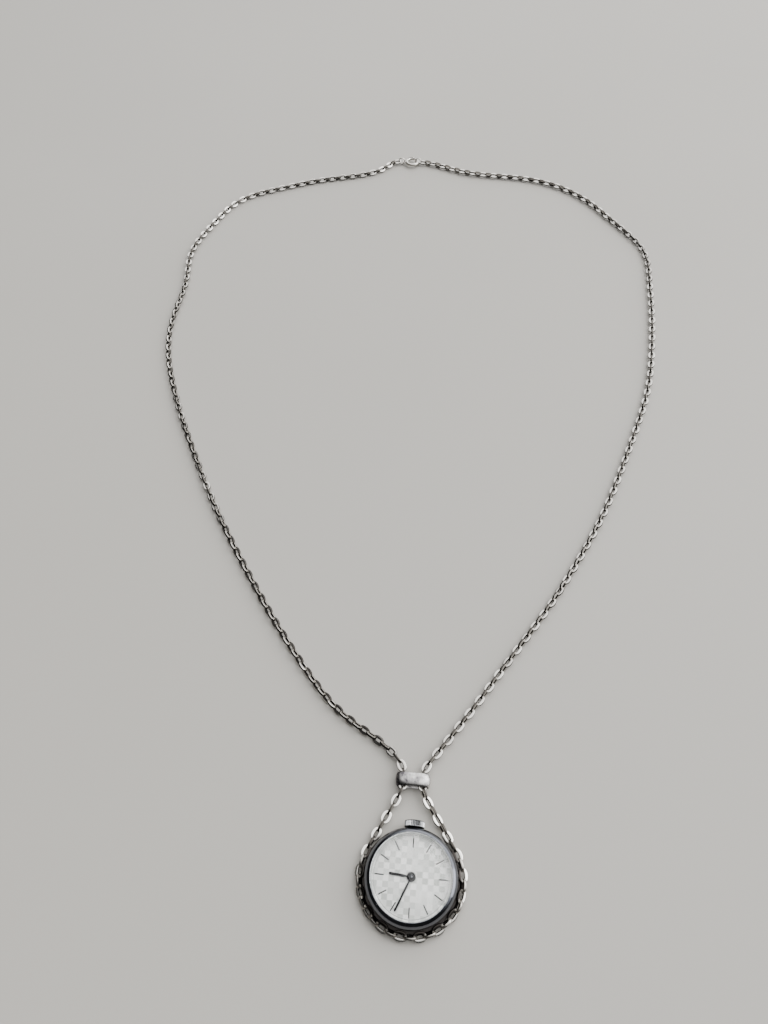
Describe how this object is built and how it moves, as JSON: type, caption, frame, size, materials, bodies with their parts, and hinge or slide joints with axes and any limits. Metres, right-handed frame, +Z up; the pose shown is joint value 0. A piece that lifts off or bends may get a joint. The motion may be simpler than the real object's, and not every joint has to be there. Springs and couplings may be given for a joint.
{
  "type": "pendant watch",
  "caption": "Round pendant watch with a domed crystal, black baton hands and a fluted crown, held by a long cable chain with a slider and a spring ring clasp.",
  "frame": {"origin": "centre of the case back's outer face, on the surface that the watch lies on", "axes": "+Z up through the crystal, +Y from the centre to the crown and the clasp, +X to the right seen from above with the crown away"},
  "size_m": [0.2088, 0.348, 0.0081],
  "materials": {
    "polished_steel": "bright polished steel",
    "satin_steel": "satin steel of the case band and back",
    "crystal": "clear domed crystal",
    "dial_silver": "silver-white dial finish",
    "hand_black": "black lacquer on hands and markers",
    "plate_nickel": "nickel-plated plates and bridges",
    "wheel_brass": "brass train wheels",
    "blued_spring": "tempered spring steel",
    "movement_steel": "polished steel of the winding work and screws",
    "gasket_rubber": "soft black sealing rings",
    "chain_silver": "aged silver-tone metal, bright where it is worn",
    "slider_silver": "worn satin silver-tone metal"
  },
  "bodies": {
    "watch": {"case_middle": "satin_steel", "bezel": "polished_steel", "crystal": "crystal", "dial_ring": "dial_silver", "dial": "dial_silver", "hour_markers": "hand_black", "movement_ring": "plate_nickel", "main_plate": "plate_nickel", "barrel_bridge": "plate_nickel", "train_bridge": "plate_nickel", "balance_cock": "plate_nickel", "pallet_bridge": "plate_nickel", "bridge_screws": "movement_steel", "crown_tube": "satin_steel", "case_back_gasket": "gasket_rubber", "click_spring": "blued_spring", "chain_round_case": "chain_silver", "chain_left_drop": "chain_silver", "chain_right_drop": "chain_silver"},
    "case_back": {"case_back": "satin_steel"},
    "minute_hand": {"cannon_pinion": "movement_steel", "minute_hand": "hand_black"},
    "hour_hand": {"hour_wheel": "wheel_brass", "hour_hand": "hand_black"},
    "minute_wheel": {"minute_wheel": "wheel_brass"},
    "setting_wheel": {"setting_wheel": "movement_steel"},
    "fourth_wheel": {"fourth_wheel": "wheel_brass"},
    "third_wheel": {"third_wheel": "wheel_brass"},
    "centre_wheel": {"centre_wheel": "wheel_brass"},
    "barrel": {"mainspring_barrel": "wheel_brass", "barrel_cover": "wheel_brass", "mainspring": "blued_spring"},
    "escape_wheel": {"escape_wheel": "movement_steel"},
    "pallet_fork": {"pallet_fork": "movement_steel"},
    "balance": {"balance_wheel": "wheel_brass", "hairspring": "blued_spring"},
    "winding_pinion": {"winding_pinion": "movement_steel"},
    "crown": {"crown": "polished_steel", "winding_stem": "movement_steel", "crown_gasket": "gasket_rubber"},
    "sliding_pinion": {"sliding_pinion": "movement_steel"},
    "setting_lever": {"setting_lever": "movement_steel"},
    "crown_wheel": {"crown_wheel": "movement_steel"},
    "ratchet_wheel": {"ratchet_wheel": "movement_steel", "barrel_arbor": "movement_steel"},
    "click": {"click": "movement_steel"},
    "necklace_low": {"chain_left_1": "chain_silver", "chain_right_1": "chain_silver"},
    "slider": {"slider": "slider_silver"},
    "necklace_middle": {"chain_left_2": "chain_silver", "chain_right_2": "chain_silver"},
    "necklace_top": {"chain_left_3": "chain_silver", "chain_right_3": "chain_silver", "clasp_jump_ring": "chain_silver", "clasp_ring": "chain_silver", "chain_end_ring": "chain_silver"},
    "clasp_trigger": {"clasp_trigger": "chain_silver"}
  },
  "joints": [
    {"name": "case_back_off", "type": "slide", "parent": "watch", "child": "case_back", "axis": [0, 0, -1], "range_m": [0, 0.01]},
    {"name": "minute_hand_turn", "type": "hinge", "parent": "watch", "child": "minute_hand", "pos_m": [0, 0, 0], "axis": [0, 0, -1], "continuous": true},
    {"name": "hour_hand_turn", "type": "hinge", "parent": "watch", "child": "hour_hand", "pos_m": [0, 0, 0], "axis": [0, 0, -1], "continuous": true},
    {"name": "minute_wheel_turn", "type": "hinge", "parent": "watch", "child": "minute_wheel", "pos_m": [0.00102, 0.00177, 0], "axis": [0, 0, -1], "continuous": true},
    {"name": "setting_wheel_turn", "type": "hinge", "parent": "watch", "child": "setting_wheel", "pos_m": [-0.00039, 0.00358, 0], "axis": [0, 0, -1], "continuous": true},
    {"name": "fourth_wheel_turn", "type": "hinge", "parent": "watch", "child": "fourth_wheel", "pos_m": [0.00252, -0.00379, 0], "axis": [0, 0, 1], "continuous": true},
    {"name": "third_wheel_turn", "type": "hinge", "parent": "watch", "child": "third_wheel", "pos_m": [0.00304, -0.00111, 0], "axis": [0, 0, 1], "continuous": true},
    {"name": "centre_wheel_turn", "type": "hinge", "parent": "watch", "child": "centre_wheel", "pos_m": [0, 0, 0], "axis": [0, 0, 1], "continuous": true},
    {"name": "barrel_turn", "type": "hinge", "parent": "watch", "child": "barrel", "pos_m": [-0.00364, 0.0021, 0], "axis": [0, 0, 1], "continuous": true},
    {"name": "escape_wheel_turn", "type": "hinge", "parent": "watch", "child": "escape_wheel", "pos_m": [0.00063, -0.00511, 0], "axis": [0, 0, 1], "continuous": true},
    {"name": "pallet_fork_rock", "type": "hinge", "parent": "watch", "child": "pallet_fork", "pos_m": [-0.00092, -0.00568, 0], "axis": [0, 0, 1], "range_deg": [-4, 4]},
    {"name": "balance_swing", "type": "hinge", "parent": "watch", "child": "balance", "pos_m": [-0.0028, -0.00499, 0], "axis": [0, 0, 1], "range_deg": [-270, 270]},
    {"name": "crown_turn", "type": "hinge", "parent": "watch", "child": "winding_pinion", "pos_m": [0, 0, 0.00285], "axis": [0, 1, 0], "continuous": true},
    {"name": "crown_pull", "type": "slide", "parent": "winding_pinion", "child": "crown", "axis": [0, 1, 0], "range_m": [0, 0.0006]},
    {"name": "sliding_pinion_shift", "type": "slide", "parent": "winding_pinion", "child": "sliding_pinion", "axis": [0, -1, 0], "range_m": [0, 0.0003]},
    {"name": "setting_lever_swing", "type": "hinge", "parent": "watch", "child": "setting_lever", "pos_m": [0.0019, 0.0073, 0], "axis": [0, 0, -1], "range_deg": [0, 18.5]},
    {"name": "crown_wheel_turn", "type": "hinge", "parent": "watch", "child": "crown_wheel", "pos_m": [0, 0.0046, 0], "axis": [0, 0, 1], "continuous": true},
    {"name": "ratchet_wheel_turn", "type": "hinge", "parent": "watch", "child": "ratchet_wheel", "pos_m": [-0.00364, 0.0021, 0], "axis": [0, 0, 1], "continuous": true},
    {"name": "click_swing", "type": "hinge", "parent": "watch", "child": "click", "pos_m": [-0.00714, 0.00083, 0], "axis": [0, 0, 1], "range_deg": [0, 10]},
    {"name": "necklace_lift", "type": "hinge", "parent": "watch", "child": "necklace_low", "pos_m": [0, 0.0233, 0.00209], "axis": [1, 0, 0], "range_deg": [0, 45]},
    {"name": "slider_slide", "type": "slide", "parent": "necklace_low", "child": "slider", "axis": [0, 1, 0], "range_m": [-0.0005, 0.0005]},
    {"name": "necklace_fold", "type": "hinge", "parent": "necklace_low", "child": "necklace_middle", "pos_m": [0, 0.12674, 0.0014], "axis": [1, 0, 0], "range_deg": [0, 40]},
    {"name": "necklace_end_fold", "type": "hinge", "parent": "necklace_middle", "child": "necklace_top", "pos_m": [0, 0.21826, 0.0014], "axis": [1, 0, 0], "range_deg": [0, 40]},
    {"name": "clasp_trigger_pull", "type": "hinge", "parent": "necklace_top", "child": "clasp_trigger", "pos_m": [-0.02262, 0.3292, 0], "axis": [0, 0, 1], "range_deg": [0, 40], "stiffness_Nm_per_rad": 0.0005, "springref_deg": -5.73}
  ],
  "couplings": [
    {"joint": "hour_hand_turn", "follows": "minute_hand_turn", "ratio": 0.083333},
    {"joint": "minute_wheel_turn", "follows": "minute_hand_turn", "ratio": -0.33333},
    {"joint": "setting_wheel_turn", "follows": "minute_hand_turn", "ratio": 0.66667},
    {"joint": "third_wheel_turn", "follows": "fourth_wheel_turn", "ratio": -0.13333},
    {"joint": "centre_wheel_turn", "follows": "fourth_wheel_turn", "ratio": 0.016667},
    {"joint": "barrel_turn", "follows": "fourth_wheel_turn", "ratio": -0.0027778},
    {"joint": "escape_wheel_turn", "follows": "fourth_wheel_turn", "ratio": -10},
    {"joint": "crown_wheel_turn", "follows": "crown_turn", "ratio": 0.55556},
    {"joint": "ratchet_wheel_turn", "follows": "crown_turn", "ratio": -0.33333},
    {"joint": "sliding_pinion_shift", "follows": "crown_pull", "ratio": 0.5},
    {"joint": "setting_lever_swing", "follows": "crown_pull", "rad_per_m": 526.32}
  ]
}
